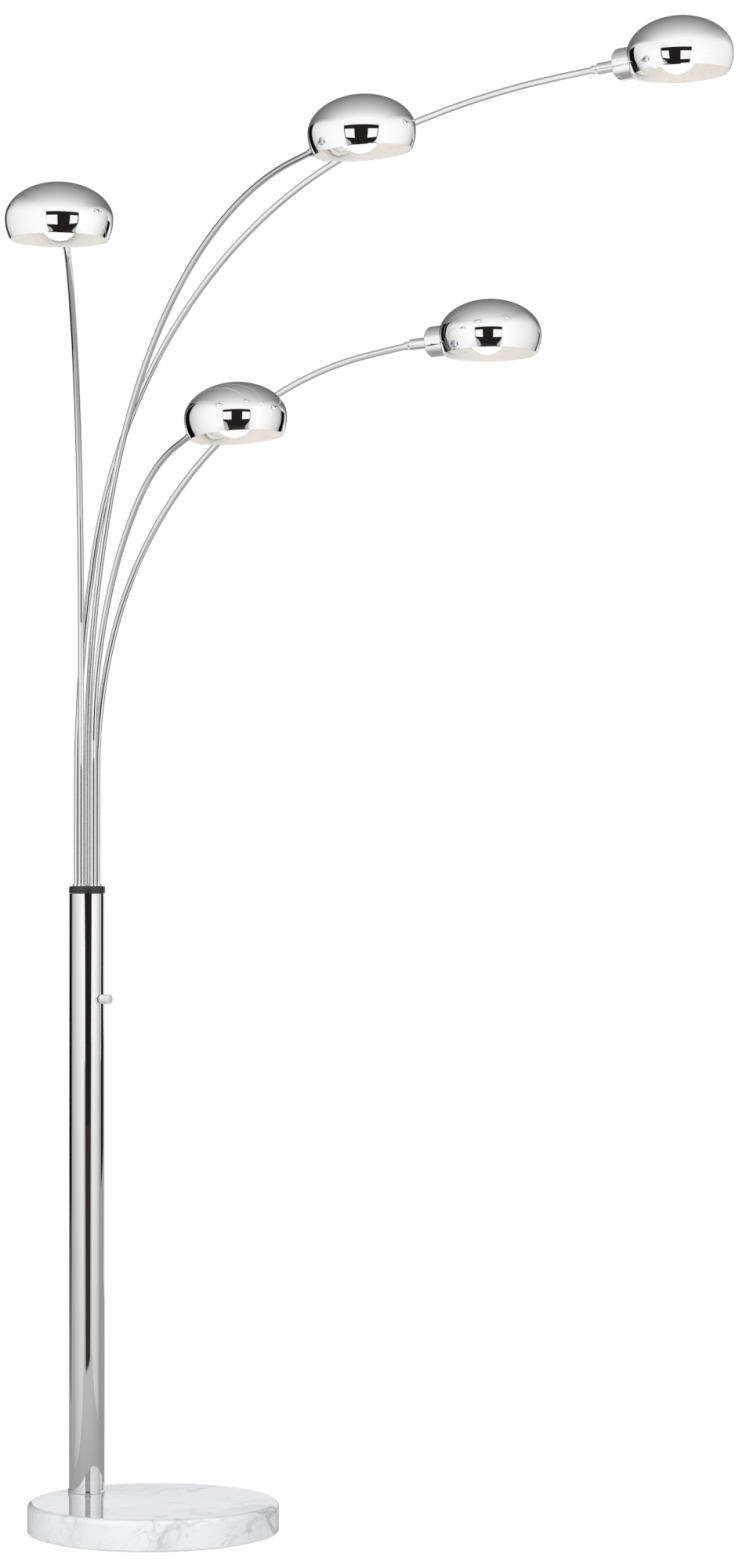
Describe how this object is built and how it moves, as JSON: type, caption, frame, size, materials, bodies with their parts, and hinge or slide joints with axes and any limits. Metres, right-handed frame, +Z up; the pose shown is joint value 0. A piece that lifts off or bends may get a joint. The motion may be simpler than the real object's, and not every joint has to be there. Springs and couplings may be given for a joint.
{
  "type": "arc floor lamp",
  "caption": "Floor lamp with a round marble base, a chrome pole and thin bent arms that swivel and carry tilting chrome dome shades with globe bulbs.",
  "frame": {"origin": "centre of the base's underside, on the floor", "axes": "+Z up, -Y towards the front, where the arms reach, +X to the lamp's right as seen from the front"},
  "size_m": [0.9411, 0.8419, 2.0171],
  "materials": {
    "felt": "pressed grey felt",
    "marble": "polished white marble with faint grey veins",
    "steel": "zinc plated",
    "chrome": "polished chrome",
    "black_cap": "satin black",
    "nylon": "plain moulded",
    "satin_knob": "satin nickel",
    "grommet": "matt black",
    "holder_white": "satin white",
    "bulb_glass": "opal white, lit"
  },
  "bodies": {
    "stand": {"floor_pad": "felt", "marble_base": "marble", "base_washer": "steel", "base_bolt": "steel", "pole_plug": "steel", "pole_foot_ring": "chrome", "pole_tube": "chrome", "pole_cap": "black_cap", "arm_bearing_block": "nylon", "dimmer_body": "black_cap", "dimmer_nut": "steel", "cord_grommet": "grommet", "terminal_block": "nylon", "supply_lead": "grommet"},
    "knob": {"dimmer_knob": "satin_knob"},
    "arm_1": {"arm_tube_1": "chrome", "arm_ferrule_1": "chrome", "ball_stud_1": "chrome"},
    "head_1": {"swivel_collar_1": "chrome", "socket_cup_1": "chrome", "lampholder_1": "holder_white", "shade_ring_1": "holder_white", "shade_1": "chrome", "bulb_1": "bulb_glass"},
    "arm_2": {"arm_tube_2": "chrome", "arm_ferrule_2": "chrome", "ball_stud_2": "chrome"},
    "head_2": {"swivel_collar_2": "chrome", "socket_cup_2": "chrome", "lampholder_2": "holder_white", "shade_ring_2": "holder_white", "shade_2": "chrome", "bulb_2": "bulb_glass"},
    "arm_3": {"arm_tube_3": "chrome", "arm_ferrule_3": "chrome", "ball_stud_3": "chrome"},
    "head_3": {"swivel_collar_3": "chrome", "socket_cup_3": "chrome", "lampholder_3": "holder_white", "shade_ring_3": "holder_white", "shade_3": "chrome", "bulb_3": "bulb_glass"},
    "arm_4": {"arm_tube_4": "chrome", "arm_ferrule_4": "chrome", "ball_stud_4": "chrome"},
    "head_4": {"swivel_collar_4": "chrome", "socket_cup_4": "chrome", "lampholder_4": "holder_white", "shade_ring_4": "holder_white", "shade_4": "chrome", "bulb_4": "bulb_glass"},
    "arm_5": {"arm_tube_5": "chrome", "arm_ferrule_5": "chrome", "ball_stud_5": "chrome"},
    "head_5": {"swivel_collar_5": "chrome", "socket_cup_5": "chrome", "lampholder_5": "holder_white", "shade_ring_5": "holder_white", "shade_5": "chrome", "bulb_5": "bulb_glass"}
  },
  "joints": [
    {"name": "knob_turn", "type": "hinge", "parent": "stand", "child": "knob", "pos_m": [-0.07049, 0.06302, 0.74], "axis": [0.809, -0.5878, 0], "range_deg": [0, 270]},
    {"name": "arm_swivel_1", "type": "hinge", "parent": "stand", "child": "arm_1", "pos_m": [-0.10595, 0.07028, 0.899], "axis": [0, 0, 1], "range_deg": [-60, 25]},
    {"name": "head_tilt_1", "type": "hinge", "parent": "arm_1", "child": "head_1", "pos_m": [-0.09406, -0.45379, 1.74801], "axis": [-0.9997, -0.0227, 0], "range_deg": [-15, 15]},
    {"name": "arm_swivel_2", "type": "hinge", "parent": "stand", "child": "arm_2", "pos_m": [-0.09905, 0.09796, 0.899], "axis": [0, 0, 1], "range_deg": [-3, 60]},
    {"name": "head_tilt_2", "type": "hinge", "parent": "arm_2", "child": "head_2", "pos_m": [0.23161, -0.49126, 1.85135], "axis": [-0.8721, -0.4894, 0], "range_deg": [-15, 15]},
    {"name": "arm_swivel_3", "type": "hinge", "parent": "stand", "child": "arm_3", "pos_m": [-0.11255, 0.08663, 0.899], "axis": [0, 0, 1], "range_deg": [-2, 60]},
    {"name": "head_tilt_3", "type": "hinge", "parent": "arm_3", "child": "head_3", "pos_m": [0.60032, -0.45251, 1.96346], "axis": [-0.6032, -0.7976, 0], "range_deg": [-15, 15]},
    {"name": "arm_swivel_4", "type": "hinge", "parent": "stand", "child": "arm_4", "pos_m": [-0.08836, 0.07151, 0.899], "axis": [0, 0, 1], "range_deg": [-45, 25]},
    {"name": "head_tilt_4", "type": "hinge", "parent": "arm_4", "child": "head_4", "pos_m": [0.06212, -0.18913, 1.51466], "axis": [-0.866, -0.5, 0], "range_deg": [-15, 15]},
    {"name": "arm_swivel_5", "type": "hinge", "parent": "stand", "child": "arm_5", "pos_m": [-0.08409, 0.08862, 0.899], "axis": [0, 0, 1], "range_deg": [-40, 60]},
    {"name": "head_tilt_5", "type": "hinge", "parent": "arm_5", "child": "head_5", "pos_m": [0.36025, -0.2111, 1.63275], "axis": [-0.5592, -0.829, 0], "range_deg": [-15, 15]}
  ]
}
